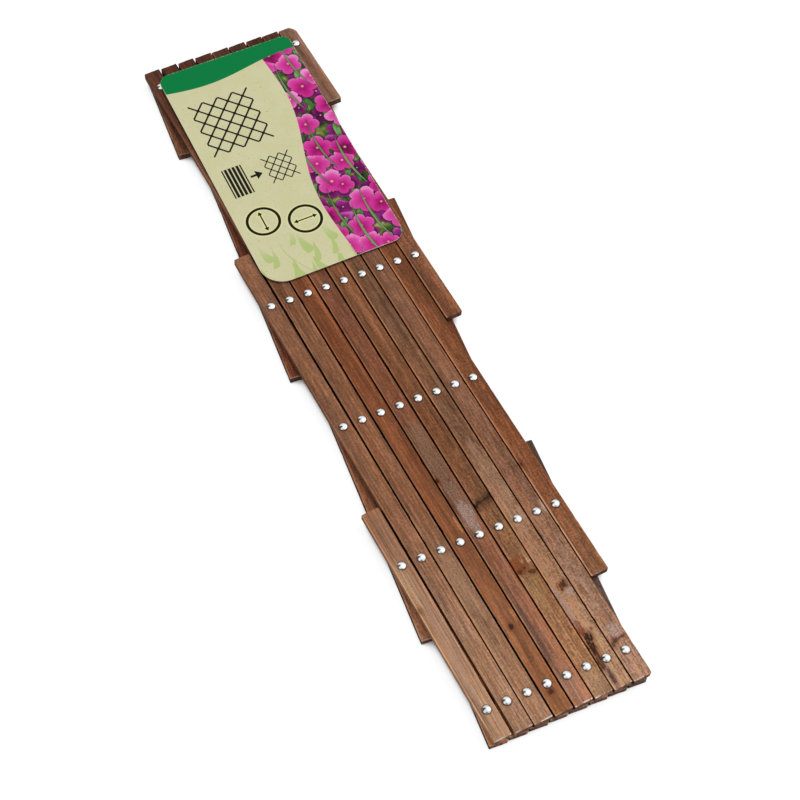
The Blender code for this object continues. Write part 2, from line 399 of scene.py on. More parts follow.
def drilled(slat, cutter):
    """Cuts the bores out of a slat, and leaves a plain mesh with no modifier."""
    tool = bpy.data.objects.new("bores", bpy.data.meshes.new("bores"))
    cutter.to_mesh(tool.data)
    cutter.free()
    bpy.context.scene.collection.objects.link(tool)
    cut = slat.modifiers.new("bores", "BOOLEAN")
    cut.operation, cut.solver, cut.object = "DIFFERENCE", "MANIFOLD", tool
    evaluated = slat.evaluated_get(bpy.context.evaluated_depsgraph_get())
    bored = bpy.data.meshes.new_from_object(evaluated)
    slat.modifiers.clear()
    slat.data = bored
    bored.materials.clear()
    bpy.data.objects.remove(tool)


def new_finish(name):
    """An empty material: its own shader, and the place on the object that its patterns are laid on."""
    material = bpy.data.materials.new(name)
    material.use_nodes = True
    place = material.node_tree.nodes.new("ShaderNodeTexCoord").outputs["Object"]
    return material, material.node_tree.nodes["Principled BSDF"], Signal(place)


def feed(shader, **signals):
    for name, signal in signals.items():
        shader.id_data.links.new(signal.socket, shader.inputs[name.replace("_", " ")])


# The shades that the stain took, from thin to thick, and what shows where it is gone. The arris colour is
# partly a painted highlight, the dark brown and the near black are painted shade on the sides, and the
# dark brown with the two radii is also a painted contact shadow round each rivet.
SANDY = rgb(160, 120, 94)
ORANGE = rgb(148, 98, 66)
BROWN = rgb(152, 108, 82)
RESIN = rgb(122, 62, 26)
HEART = rgb(40, 22, 15)
SHADE_BROWN = rgb(58, 32, 24)
WORN_LIT_ARRIS = rgb(226, 172, 130)
BARE_END = rgb(240, 222, 208)
NEAR_BLACK = rgb(12, 7, 6)
KNOT_PULL = 0.8
RING_WIDTH = 0.0024
BRUISE_SHADE_RADIUS = 0.0052
BRUISE_SHADE_CORE = 0.0041


class Wood:
    """One lath's own places and the patterns of its grain, which every coat of its finish follows."""

    def __init__(self, place, middle, lean, width, length, thickness, seed, knots):
        self.half, self.length, self.thickness = width / 2, length, thickness
        self.own = place.mapped("TEXTURE", Location=middle, Rotation=(0, 0, lean))
        self.across, self.along, self.up = self.own.split()
        self.from_foot = self.along + length / 2
        self.on_top = self.by_depth(0.0007, 0.0003)
        self.torn = self.own.mapped(Scale=(560, 200, 560)).speckle(1.0, 4.0) - 0.5
        self.speck = self.own.speckle(520.0, 3.0)
        # The grain wanders a little along the lath, and swerves round each knot.
        slow = self.along * 6 + seed
        bend = slow.node("TexNoise", {"noise_dimensions": "1D"}, {"W": slow, "Scale": 1.0, "Detail": 1.0})
        grain = self.across + 0.0012 * bend
        self.knot_dark = self.knot_halo = None
        for x, height, size, reach, strength in knots:
            away = self.away(x, height, size, reach)
            grain = grain - (self.across - x) * KNOT_PULL * (away * -0.35).math("EXPONENT")
            ragged = away + self.torn * 5.0
            dark = ragged.rise(1.5, 0.2) * strength
            halo = (ragged * 0.6 + away * 0.4).rise(5.0, 0.8) * strength
            self.knot_dark = self.knot_dark.math("MAXIMUM", dark) if self.knot_dark else dark
            self.knot_halo = self.knot_halo.math("MAXIMUM", halo) if self.knot_halo else halo
        self.fibre = grain.node("CombineXYZ", (), {"X": grain, "Y": self.along, "Z": self.up + seed * 0.31})
        self.fine = self.streaks(900, 16)
        self.hair = self.streaks(2600, 60)
        self.patch = self.streaks(75, 5)
        # Its year rings are those of a trunk whose pith lies below the lath and off to a side.
        pith = Vector((0.022 * math.sin(seed * 2.3), -0.030 - 0.020 * math.cos(seed * 1.7)))
        off_pith = grain - pith.x + self.along * 0.004 * math.sin(seed)
        out = (off_pith ** 2 + (self.up - pith.y) ** 2) ** 0.5
        ring = (out / RING_WIDTH + self.streaks(60, 4) * 1.6).math("FRACT")
        self.late_wood = ring.rise(0.35, 0.9) * ring.rise(1.0, 0.93)

    def streaks(self, across_scale, along_scale, detail=2.0):
        """Noise drawn out along the grain."""
        return self.fibre.mapped(Scale=(across_scale, along_scale, across_scale)).speckle(1.0, detail)

    def away(self, x, height, half_width, half_length):
        """How far a place is from a spot on the lath, squared, with 1 at the spot's outline."""
        aside = (self.across - x) / half_width
        above = (self.along - (height - self.length / 2)) / half_length
        return aside ** 2 + above ** 2

    def by_depth(self, first, last):
        """A smooth step from 0 at one depth below the top face to 1 at another."""
        return self.up.rise(self.thickness - first, self.thickness - last)

    def by_side(self, sideways, first, last):
        """A smooth step from 0 at one distance in from a side to 1 at another."""
        return sideways.rise(self.half - first, self.half - last)


def stain_coat(wood, shade, mottle, worn, rough):
    """The stain as the dip left it, pale and dark in streaks, with a second tone in clouds and flecks."""
    low_down = wood.from_foot.rise(0.42, 0.16)
    flecks = low_down * (rough - 0.75) + 0.75
    dash = wood.streaks(560, 90, 3.0)
    pale = 0.5 + (wood.fine - 0.5) * 0.9 + (wood.hair - 0.5) * 0.3 + (dash - 0.5) * 0.9 * flecks
    pale = pale + (wood.patch - 0.5) * 0.8 - wood.late_wood * 0.12 + (wood.speck - 0.5) * 0.95 * flecks
    pale = pale + (wood.streaks(130, 1.5) - 0.5) * 0.9 * (1.2 - flecks).math("MINIMUM", 0.45)
    if worn:
        worn_to = worn - wood.length / 2
        pale = pale + (wood.along + (wood.patch - 0.5) * 0.10).rise(worn_to + 0.03, worn_to - 0.03) * 0.08
    pale = pale + wood.streaks(150, 1.3, 1.0).rise(0.60, 0.70) * 0.10
    palest = tuple(min(1.0, 1.85 * value + 0.01) for value in shade[:3]) + (1.0,)
    stain = pale.ramp(((0.08, faded(shade, 0.42)), (0.36, faded(shade, 0.82)), (0.50, shade), (0.84, palest)))
    tint = wood.streaks(240, 13, 3.0)
    stain = (tint.rise(0.42, 0.62) * 0.5).between(stain, rgb(255, 236, 206), "MULTIPLY")
    stain = (tint.rise(0.46, 0.30) * 0.35).between(stain, rgb(246, 246, 255), "MULTIPLY")
    second, share = mottle
    if share:
        cloudy = wood.streaks(190, 46, 4.0).rise(0.47, 0.60)
        flecked = wood.own.speckle(300.0, 4.0).rise(0.34, 0.64)
        stain = (cloudy * flecked * (low_down * 0.75 + 0.25) * share).between(stain, second)
    return stain


def rub_and_light_arrises(wood, stain, arris):
    """The arrises are paler, most on the left, where they were rubbed in the bundle and where a highlight
    is painted along the left arris.
    """
    rub = wood.streaks(300, 30, 3.0)
    # Painted highlight, with wear: the left arris paler where it faces the light.
    left = wood.by_side(wood.across * -1, 0.0016, 0.0010) * rub.rise(0.30, 0.52)
    right = wood.by_side(wood.across, 0.0012, 0.0006) * rub.rise(0.5, 0.7)
    return ((left * arris + right * 0.25) * wood.on_top).between(stain, WORN_LIT_ARRIS)


def darken_towards_far_end(wood, stain, world_along, dark_end):
    """Darker and redder towards the trellis's far end, and darker again near the far end by dark_end."""
    toward_far_end = (world_along + (wood.patch - 0.5) * 0.3).rise(-0.40, -0.12) * 0.62
    stain = toward_far_end.between(stain, rgb(172, 128, 92), "MULTIPLY")
    far_end = (world_along + (wood.patch - 0.5) * 0.2).rise(0.19, 0.35) * dark_end
    return far_end.between(stain, rgb(169, 156, 160), "MULTIPLY")


def darken_sides(wood, stain, beside):
    """The sides are darker below the top, partly dried stain and partly painted shade for the gaps, and
    are painted near black as shade where a neighbour stands close on the left.
    """
    # Painted shade for the gaps, partly dried stain: every side darker below its top.
    both = wood.by_depth(0.0004, 0.0016) * wood.by_side(abs(wood.across), 0.0009, 0.0005)
    stain = (both * 0.35).between(stain, SHADE_BROWN)
    # Painted shade: the left side near black wherever a neighbour stands close beside it.
    left = wood.by_side(wood.across * -1, 0.0010, 0.0005) * wood.by_depth(0.0002, 0.0009)
    in_neighbour_shade = wood.from_foot.rise(beside + 0.004, beside - 0.004)
    return (left * in_neighbour_shade * 0.95).between(stain, NEAR_BLACK)


def wear_ends(wood, stain, rubbed_end):
    """The foot is rubbed bare along its upper edge, where it stood on the ground, and end grain is dark."""
    rubbed = (wood.streaks(130, 130) + wood.speck * 0.3).rise(0.61, 0.71)
    upper_edge = wood.from_foot.rise(0.0021, 0.0006) * wood.by_depth(0.0013, 0.0006)
    stain = (upper_edge * rubbed * rubbed_end).between(stain, BARE_END)
    from_end = wood.length / 2 - abs(wood.along)
    end_grain = from_end.rise(0.0006, 0.0002) * wood.by_depth(0.0002, 0.0008)
    pores = (wood.streaks(420, 0, 3.0) * 1.2 - 0.1).between(rgb(40, 18, 16), rgb(96, 56, 46))
    return end_grain.between(stain, pores)


def bruise_and_shade(wood, stain, first_rivet):
    """The wood is darker round each rivet's head: a painted contact shadow, and the wood bruised there."""
    to_rivet = (((wood.along - first_rivet) / rivet_spacing + 0.5).math("FRACT") - 0.5) * rivet_spacing
    from_axis = (to_rivet ** 2 + wood.across ** 2) ** 0.5
    # Painted contact shadow, with bruising: a dark ring just outside each head.
    dark = (from_axis + (wood.speck - 0.5) * 0.0012).rise(BRUISE_SHADE_RADIUS, BRUISE_SHADE_CORE)
    return (dark * wood.on_top * 0.68).between(stain, SHADE_BROWN)


def rub_patch(wood, stain, x, height, half_width, half_length, strength, bared):
    """A patch where the stain is rubbed off or lies thick, gritty at its edge."""
    uneven = (wood.streaks(260, 60, 4.0) - 0.5) * 3.0 + wood.torn * 1.6
    bald = (wood.away(x, height, half_width, half_length) + uneven).rise(1.4, 0.5)
    grit = (wood.own.speckle(680.0, 4.0) * 0.7 + wood.fine * 0.3).rise(0.34, 0.62)
    return (bald * strength).between(stain, grit.between(faded(bared, 0.34), bared))


def crack(wood, stain, height, gape):
    """A crack across the grain, dark inside and brown along its sides."""
    zigzag = (wood.streaks(230, 0, 3.0) - 0.5) * 0.0075
    off = abs(wood.from_foot - height - wood.across * 0.18 + zigzag)
    widest = gape * (0.55 + abs(wood.across) * 150)
    stain = ((off + wood.torn * 0.020).rise(0.0100, 0.0015) * 0.85).between(stain, rgb(88, 56, 32))
    return ((off / widest + wood.torn * 1.8).rise(1.40, 0.40) * 0.85).between(stain, rgb(44, 27, 18))


def stained(name, middle, lean, width, length, thickness, first_rivet, seed, shade, knots=(), wanes=(),
            split=None, worn=0.0, mottle=(SANDY, 0.0), dark_end=0.0, rubbed_end=0.2, arris=0.6, rough=1.0,
            beside=1.0):
    """Brown stain on softwood. Knots and wanes are (across, up from the foot, half width, half length,
    strength), a wane with its shade. A split crosses the slat at a height and gapes by a half width. Worn is
    how far up from the foot the stain is rubbed thin, mottle a second shade and its share, dark_end how dark
    the far end is, rubbed_end how bare the foot's upper edge is, arris how pale the left arris is, worn
    and with a painted highlight, rough how strongly the foot is flecked, and beside how far up from the foot
    a neighbour stands on the left, below which the left side gets painted near-black shade."""
    material, shader, place = new_finish(name)
    wood = Wood(place, middle, lean, width, length, thickness, seed, knots)
    stain = stain_coat(wood, shade, mottle, worn, rough)
    stain = rub_and_light_arrises(wood, stain, arris)
    _, world_along, _ = place.split()
    stain = darken_towards_far_end(wood, stain, world_along, dark_end)
    stain = darken_sides(wood, stain, beside)
    stain = wear_ends(wood, stain, rubbed_end)
    stain = bruise_and_shade(wood, stain, first_rivet)
    for wane in wanes:
        stain = rub_patch(wood, stain, *wane)
    if split:
        stain = crack(wood, stain, *split)
    relief = wood.fine * 0.5 + wood.hair * 0.35 + wood.speck * 0.15 - wood.late_wood * 0.15
    if knots:
        stain = (wood.knot_halo * 0.6).between(stain, RESIN)
        stain = (wood.knot_dark * 0.95).between(stain, HEART)
        relief = relief - wood.knot_dark * 1.2
    dullness = 0.58 + wood.fine * 0.2 + wood.patch * 0.1
    feed(shader, Base_Color=stain, Roughness=dullness, Normal=relief.bump(0.5, 0.0003))
    shader.inputs["Specular IOR Level"].default_value = 0.12
    return material


joints = {joint["name"]: joint for joint in frame["joints"]}
upper_pin, lower_pin = (Vector(joints[name]["pos_m"]) for name in ("fold", "back_slat_05_pivot"))
up_the_front = upper_pin - lower_pin
FRONT_LEAN = math.atan2(-up_the_front.x, up_the_front.y)

# The front slats from left to right. Each is planed a little differently, so that the gaps between them vary,
# and has its own shade, knots and wear.
FRONT_SLATS = (
    dict(
        shade=rgb(188, 147, 119), shy=((0.0001, 0.0001), (0.0008, 0.0001)),
        rubbed_end=0.5, arris=0.9, rough=0.35, beside=0.0,
        knots=((-0.0064, 0.1335, 0.0018, 0.0034, 0.35),),
        wanes=((-0.0040, 0.1565, 0.0042, 0.0260, 0.35, rgb(222, 184, 142)),),
    ),
    dict(
        shade=rgb(166, 126, 99), shy=((0.0008, 0.0), (-0.00025, 0.0010)),
        rubbed_end=0.4, arris=0.3, rough=0.7, beside=0.235,
        wanes=((0.0, 0.4750, 0.0086, 0.0550, 0.30, rgb(104, 70, 50)),),
    ),
    dict(
        shade=rgb(160, 120, 93), shy=((-0.00025, 0.00025), (0.0001, 0.0004)),
        rubbed_end=0.9, arris=0.5, dark_end=1.0, rough=0.7, beside=0.54,
        wanes=((0.0, 0.1450, 0.0080, 0.0400, 0.30, rgb(206, 164, 132)),),
    ),
    dict(
        shade=rgb(147, 97, 66), shy=((0.0002, -0.0001), (-0.0001, 0.0004)),
        arris=0.3, dark_end=1.0, rough=0.5, mottle=(rgb(184, 120, 70), 0.35),
        knots=((-0.0008, 0.0874, 0.0020, 0.0030, 0.9), (-0.0007, 0.0215, 0.0024, 0.0028, 0.8)),
        wanes=(
            (0.0066, 0.0965, 0.0020, 0.0070, 0.7, rgb(206, 142, 92)),
            (0.0066, 0.1950, 0.0016, 0.0090, 0.7, rgb(200, 132, 84)),
        ),
    ),
    dict(
        shade=rgb(147, 101, 76), shy=((0.0003, -0.00025), (-0.00025, 0.0009)), swell=(0.0, 0.0004),
        worn=0.05, rubbed_end=1.0, arris=0.5, dark_end=1.0, rough=0.7, mottle=(rgb(178, 144, 132), 0.2),
        knots=((-0.0070, 0.2426, 0.0018, 0.0030, 0.9), (0.0025, 0.2389, 0.0010, 0.0011, 0.9)),
        wanes=(
            (0.0004, 0.2700, 0.0086, 0.0480, 0.66, rgb(146, 112, 88)),
            (0.0014, 0.2160, 0.0078, 0.0340, 0.60, rgb(146, 112, 92)),
            (0.0002, 0.1970, 0.0062, 0.0170, 0.70, rgb(184, 154, 142)),
            (-0.0052, 0.0800, 0.0024, 0.0500, 0.75, rgb(112, 82, 70)),
            (-0.0010, 0.0180, 0.0070, 0.0160, 0.20, rgb(180, 148, 138)),
        ),
    ),
    dict(
        shade=rgb(155, 111, 80), shy=((0.0003, -0.00025), (-0.00025, 0.0006)), swell=(0.0, 0.0009),
        chips={(1, 1): 0.0}, split=(0.2078, 0.0014), worn=0.10, rubbed_end=1.0, arris=0.4, dark_end=1.0,
        rough=1.1, mottle=(rgb(196, 147, 95), 0.4),
        knots=(
            (0.0050, 0.1269, 0.0036, 0.0024, 0.7), (-0.0060, 0.1310, 0.0026, 0.0026, 0.6),
            (0.0000, 0.1330, 0.0020, 0.0014, 0.6),
        ),
        wanes=(
            (-0.0030, 0.1370, 0.0080, 0.0080, 0.85, rgb(150, 82, 40)),
            (0.0066, 0.1380, 0.0018, 0.0030, 0.55, rgb(220, 190, 168)),
            (0.0010, 0.1400, 0.0014, 0.0022, 0.40, rgb(206, 172, 148)),
            (-0.0005, 0.1120, 0.0076, 0.0160, 0.35, rgb(196, 152, 100)),
            (0.0, 0.0140, 0.0080, 0.0180, 0.40, rgb(222, 178, 142)),
        ),
    ),
    dict(
        shade=rgb(152, 117, 91), shy=((-0.0001, 0.00015), (0.0, 0.0003)), swell=(0.0006, 0.0005),
        chips={(-1, 1): 0.0, (1, 1): 0.0003}, worn=0.24, rubbed_end=0.5, arris=0.9, dark_end=1.0,
        rough=1.3, mottle=(rgb(198, 164, 130), 0.5),
        knots=(
            (0.0022, 0.1045, 0.0036, 0.0030, 0.85), (-0.0005, 0.1010, 0.0012, 0.0016, 0.8),
            (0.0052, 0.1075, 0.0012, 0.0016, 0.8), (-0.0038, 0.0520, 0.0038, 0.0052, 1.0),
            (-0.0056, 0.0430, 0.0036, 0.0080, 1.0), (-0.0060, 0.0350, 0.0030, 0.0070, 0.9),
            (-0.0066, 0.0240, 0.0022, 0.0060, 0.8), (-0.0046, 0.0120, 0.0018, 0.0080, 0.7),
            (0.0030, 0.0580, 0.0014, 0.0016, 0.6),
        ),
        wanes=(
            (0.0042, 0.0966, 0.0030, 0.0042, 0.60, rgb(192, 174, 174)),
            (-0.0062, 0.0640, 0.0030, 0.0100, 0.85, rgb(142, 72, 42)),
            (-0.0070, 0.0860, 0.0030, 0.0220, 0.65, rgb(186, 152, 138)),
            (-0.0045, 0.0120, 0.0036, 0.0120, 0.70, rgb(176, 152, 144)),
            (0.0035, 0.0460, 0.0040, 0.0080, 0.40, rgb(206, 168, 120)),
            (0.0, 0.2160, 0.0082, 0.0500, 0.30, rgb(210, 164, 134)),
        ),
    ),
    dict(
        shade=rgb(151, 114, 91), shy=((-0.00025, 0.0001), (-0.00025, -0.00025)), swell=(0.0003, 0.0),
        chips={(1, -1): 0.0012, (-1, 1): 0.0003}, worn=0.20, rubbed_end=0.4, arris=0.5, dark_end=1.0,
        rough=1.2, mottle=(rgb(188, 156, 142), 0.45),
        knots=(
            (-0.0027, 0.0399, 0.0030, 0.0022, 0.8), (-0.0072, 0.0372, 0.0020, 0.0030, 0.7),
            (0.0040, 0.0408, 0.0032, 0.0012, 0.7),
        ),
        wanes=(
            (0.0010, 0.0480, 0.0060, 0.0080, 0.55, rgb(190, 164, 156)),
            (0.0082, 0.1800, 0.0014, 0.0080, 0.80, rgb(210, 178, 156)),
        ),
    ),
    dict(
        shade=rgb(146, 99, 68), shy=((-0.0001, 0.0002), (0.0, 0.0)), swell=(0.0, 0.0004),
        chips={(1, 1): 0.0}, arris=1.0, dark_end=1.0,
        knots=((-0.0066, 0.1245, 0.0014, 0.0028, 0.8),),
    ),
    dict(
        shade=BROWN, shy=((0.0, 0.0), (0.0, 0.0)), swell=(0.0004, 0.0),
        chips={(-1, 1): 0.0, (1, 1): 0.0003}, arris=0.7, dark_end=1.0,
    ),
    dict(
        shade=rgb(168, 134, 116), shy=((0.0, 0.0), (0.0001, 0.0001)), swell=(0.0004, 0.0),
        chips={(1, 1): 0.006, (-1, 1): 0.0003}, arris=0.4, rough=0.6,
    ),
)
BACK_SHADES = (
    rgb(142, 106, 84), rgb(128, 80, 62), BROWN, rgb(196, 126, 80), BROWN, ORANGE, SANDY, BROWN, BROWN, ORANGE,
    rgb(112, 92, 82),
)
bodies = frame["record"]["behaviour"]["bodies"]

for layer, lean, sample in (("front", FRONT_LEAN, "front_slat_11"), ("back", -FRONT_LEAN, "back_slat_01")):
    low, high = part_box(sample)
    thickness = high.z - low.z
    above, below = high.z + OVERCUT, low.z - OVERCUT
    bore = [(0, above), (BORE_RADIUS, above), (BORE_RADIUS, below), (0, below)]
    if layer == "back":
        bore[2:3] = (BORE_RADIUS, POCKET_DEPTH), (POCKET_RADIUS, POCKET_DEPTH), (POCKET_RADIUS, below)
    for number in range(1, len(FRONT_SLATS) + 1):
        name = f"{layer}_slat_{number:02d}"
        look = dict(FRONT_SLATS[number - 1]) if layer == "front" else {"shade": BACK_SHADES[number - 1]}
        form = {key: look.pop(key) for key in ("shy", "swell", "chips") if key in look}
        middle, width, length = slat_frame(name, lean)
        middle.z = low.z
        seed = number * SEED_STEP + (0 if layer == "front" else BACK_SEED)
        made = lath(width, length, thickness, seed, **form)
        laid = Matrix.Translation(middle) @ Matrix.Rotation(lean, 4, "Z")
        bmesh.ops.transform(made, matrix=laid, verts=made.verts)
        slat = finished(f"{layer}_lath_{number:02d}", made, name)
        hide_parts(name)
        # A slat is bored where its centre line meets a rivet.
        bores = bmesh.new()
        for _, _, axis in rivet_axes():
            offset = Matrix.Rotation(-lean, 3, "Z") @ (axis - Vector((middle.x, middle.y, 0)))
            if abs(offset.x) < ON_LINE and abs(offset.y) < length / 2:
                first_rivet = offset.y
                lathe(bores, bore, axis, ROUND_STEPS)
        drilled(slat, bores)
        stain_name = f"stained lath {layer} {number}"
        stain = stained(stain_name, middle, lean, width, length, thickness, first_rivet, seed, **look)
        slat.data.materials.append(stain)


# Rivets: bright zinc, one at each crossing. A low domed head sits on the front, its shank passes both
# slats, and its hollow tail is rolled over inside the pocket at the back.
HEAD_RADIUS = 0.00385
SHANK_RADIUS = 0.0022
TAIL_RADIUS = 0.0036
TAIL_HEIGHT = 0.0010
RIM = 0.00042
CROWN_TILT = math.radians(29)
CROWN_STEPS = 8
RIM_STEPS = 4
RIVET_STEPS = 32
ASKEW = math.radians(3.0)
ASKEW_ABOUT = 0.0006
CLEARANCE = 0.0003
head_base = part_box("front_slat_11")[1].z + CLEARANCE

crown_edge = HEAD_RADIUS - RIM * (1 - math.sin(CROWN_TILT))
crown_round = crown_edge / math.sin(CROWN_TILT)
crown = [CROWN_TILT * step / CROWN_STEPS for step in range(CROWN_STEPS + 1)]
dome = [(crown_round * math.sin(a), rivet_high.z - crown_round * (1 - math.cos(a))) for a in crown]
crown_base = dome[-1][1]
for step in range(1, RIM_STEPS + 1):
    tilt = CROWN_TILT + (math.pi / 2 - CROWN_TILT) * step / RIM_STEPS
    drop = RIM * (math.cos(CROWN_TILT) - math.cos(tilt))
    dome.append((HEAD_RADIUS - RIM * (1 - math.sin(tilt)), crown_base - drop))
tail_top = rivet_low.z + TAIL_HEIGHT
rivet_outline = dome + [
    (HEAD_RADIUS - 0.0001, head_base), (SHANK_RADIUS, head_base), (SHANK_RADIUS, tail_top),
    (TAIL_RADIUS - 0.0003, tail_top), (TAIL_RADIUS, tail_top - 0.0003),
    (TAIL_RADIUS - 0.0001, rivet_low.z + 0.0003), (TAIL_RADIUS - 0.0006, rivet_low.z),
    (SHANK_RADIUS, rivet_low.z + 0.0001), (SHANK_RADIUS - 0.0007, rivet_low.z + 0.0005),
    (SHANK_RADIUS - 0.0009, rivet_low.z + 0.0016), (0, rivet_low.z + 0.0018),
]

zinc, shader, place = new_finish("bright zinc")
haze = place.speckle(900.0, 3.0)
cloud = place.speckle(140.0, 1.0)
color = cloud.rise(0.35, 0.7).between(rgb(238, 239, 238), rgb(216, 220, 220))
dents = (haze * 0.4 + cloud).bump(0.4, 0.0003)
feed(shader, Base_Color=color, Roughness=0.10 + haze * 0.10, Normal=dents)
shader.inputs["Metallic"].default_value = 1.0

for row, column, axis in rivet_axes():
    made = bmesh.new()
    lathe(made, rivet_outline, axis, RIVET_STEPS)
    # The head sits a little askew on its shank, each its own way.
    head = [vert for vert in made.verts if vert.co.z > head_base - 0.00001]
    hold = axis + Vector((0, 0, head_base + ASKEW_ABOUT))
    for way, share in (("X", math.sin(row * 5.1 + column * 3.7)), ("Y", math.cos(row * 2.9 + column * 4.3))):
        bmesh.ops.rotate(made, verts=head, cent=hold, matrix=Matrix.Rotation(ASKEW * share, 3, way))
    # Those under the card are part of their slat in the solids, and the others are solids of their own.
    node = f"rivet_row{row}_{column}"
    shown = node in frame["nodes"]
    riding = [body for body, nodes in bodies.items() if node in nodes]
    body = riding[0] if shown else f"front_slat_{column + 2:02d}"
    rivet = finished(f"zinc_{node}", made, body, sharp=50)
    rivet.data.materials.append(zinc)
    if shown:
        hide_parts(node)


# Card: one stiff printed sheet with rounded corners that lies on the rivets of the top two rows. It is
# printed on the front only, with a green head, a strip of blossoms and plain line drawings, and its cut
# edges and back are bare pulp.
CARD_WIDTH = 0.147
CARD_LENGTH = 0.291
CARD_TILT = math.radians(1.2)
CARD_CORNERS = {(1, 1): 0.009, (-1, 1): 0.012, (-1, -1): 0.024, (1, -1): 0.014}
CARD_RIM = 0.00008

card_low, card_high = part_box("label_card")
card_middle = (card_low + card_high) / 2
made = bmesh.new()
bmesh.ops.create_cube(made, size=1.0)
bmesh.ops.scale(made, vec=(CARD_WIDTH, CARD_LENGTH, card_high.z - card_low.z), verts=made.verts)
for (side, end), radius in CARD_CORNERS.items():
    corner = [
        edge for edge in edges_along(made, 2, 0.0001)
        if all(v.co.x * side > CARD_WIDTH * 0.49 and v.co.y * end > CARD_LENGTH * 0.49 for v in edge.verts)
    ]
    rounded(made, corner, radius, 12)
rounded(made, [edge for face in made.faces if abs(face.normal.z) > 0.9 for edge in face.edges], CARD_RIM, 1)
laid = Matrix.Translation(card_middle) @ Matrix.Rotation(CARD_TILT, 4, "Z")
bmesh.ops.transform(made, matrix=laid, verts=made.verts)
for face in made.faces:
    face.material_index = 0 if face.normal.z > 0.9 else 1
card = finished("printed_card", made, "label_card")
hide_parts("label_card")

HEAD_GREEN = rgb(0, 121, 62)
KRAFT = rgb(205, 202, 160)
INK = rgb(22, 22, 18)
PALE_LEAF = rgb(162, 187, 98)
HALO = rgb(226, 226, 160)
MILLIMETRE = 0.001
ARROW_SHAFT = 0.75
ARROW_HEAD = 4.2
ARROW_SLOPE = 0.62
DOT_SIZE = 1.9
PETALS = 5
LEAF_PITCH = 0.42

printed, shader, place = new_finish("printed card")
# The print is drawn in millimetres from the card's middle.
on_card = place.mapped("TEXTURE", Location=card_middle, Rotation=(0, 0, CARD_TILT), Scale=(MILLIMETRE,) * 3)
right, up, _ = on_card.split()
pulp = on_card.speckle(1.1, 3.0)


def ink(distance, blur=0.16):
    """1 inside a drawn shape and 0 outside it, from the distance to its outline."""
    return distance.rise(blur, -blur)


def disc(x, y, radius):
    return ((right - x) ** 2 + (up - y) ** 2) ** 0.5 - radius


def panel(x, y, half_width, half_height):
    return (abs(right - x) - half_width).math("MAXIMUM", abs(up - y) - half_height)


def both_arrows(x, y, reach, across):
    """A line with a head at each end, lying across the card or along it."""
    far, aside = (abs(right - x), abs(up - y)) if across else (abs(up - y), abs(right - x))
    shaft = (far - (reach - 2)).math("MAXIMUM", aside - ARROW_SHAFT)
    head = (aside - (reach - far) * ARROW_SLOPE).math("MAXIMUM", reach - ARROW_HEAD - far)
    return shaft.math("MINIMUM", head)


def lattice(x, y, half_width, half_height, cell_width, cell_height, line):
    """An open trellis as crossed lines with a dot on each crossing."""
    rising = (right - x) / cell_width + (up - y) / cell_height
    falling = (right - x) / cell_width - (up - y) / cell_height
    first, second = (abs((way + 100.5).math("FRACT") - 0.5) for way in (rising, falling))
    slope = (cell_width ** -2 + cell_height ** -2) ** 0.5
    lines = first.math("MINIMUM", second) / slope - line
    dots = (first * first + second * second) ** 0.5 / slope - line * DOT_SIZE
    return lines.math("MINIMUM", dots).math("MAXIMUM", panel(x, y, half_width, half_height))


def scattered(randomness, **sockets):
    """How far off the nearest of many scattered places lies, across and up, and three numbers of its own."""
    field = on_card.mapped(**sockets)
    settings = {"voronoi_dimensions": "2D"}
    cells = field.node("TexVoronoi", settings, {"Vector": field, "Scale": 1.0, "Randomness": randomness})
    outputs = cells.socket.node.outputs
    away = field.node("VectorMath", {"operation": "SUBTRACT"}, {0: field, 1: Signal(outputs["Position"])})
    x, y, _ = away.split()
    return x, y, *Signal(outputs["Color"]).split()


def blossoms(spacing, size, turn, tones, seed):
    """A scatter of round flowers: what they cover, the shade they throw, and their colour."""
    shift, scale = (seed, seed * 0.6, 0), (1 / spacing,) * 3
    x, y, luck, shade, swing = scattered(0.75, Location=shift, Rotation=(0, 0, turn), Scale=scale)
    far = (x * x + y * y) ** 0.5
    angle = y.math("ARCTAN2", x) + swing * math.tau
    lobe = abs((angle * (PETALS / 2)).math("COSINE")) ** 0.55
    edge = (lobe * 0.36 + 0.64) * (luck * 0.35 + 0.8) * (size / spacing)
    share = far / edge
    veins = (angle * 34 + far * 20).math("SINE") * 0.05
    lit = y * (spacing / size)
    glow = share * 0.62 + lit * 0.24 + 0.14 + veins + (shade - 0.5) * 0.62 + (pulp - 0.5) * 0.35
    creases = (1 - lobe).rise(0.62, 1.0) * 0.5 * share.rise(0.1, 0.4)
    color = creases.between(glow.ramp(tones), tones[1][1])
    eye = share.rise(0.13, 0.05) * 0.6
    color = eye.between(color, rgb(240, 210, 160))
    return share.rise(1.0, 0.94), share.rise(1.35, 0.95) * 0.7, color


def leaves(spacing, length, width, turn, color, seed, curl=0.014):
    """A scatter of narrow pointed leaves, all lying about one way and bent by their curl."""
    shift, scale = (seed, seed * 0.4, 0), (1 / spacing, LEAF_PITCH / spacing, 1)
    x, y, luck, shade, _ = scattered(0.9, Location=shift, Rotation=(0, 0, turn), Scale=scale)
    up_the_leaf = y * spacing / LEAF_PITCH
    bend = x * spacing + up_the_leaf ** 2 * (curl * (1 if seed % 2 else -1))
    reach = abs(up_the_leaf) / (length / 2)
    blade = abs(bend) - (1 - reach * reach) * width * (luck * 0.5 + 0.6)
    rib = abs(bend).rise(0.25, 0.55)
    tone = (rib * 0.5 + shade * 0.5).between(faded(color, 0.45), color)
    return ink(blade, 0.3), ink(blade - 0.8, 0.8) * 0.6, tone


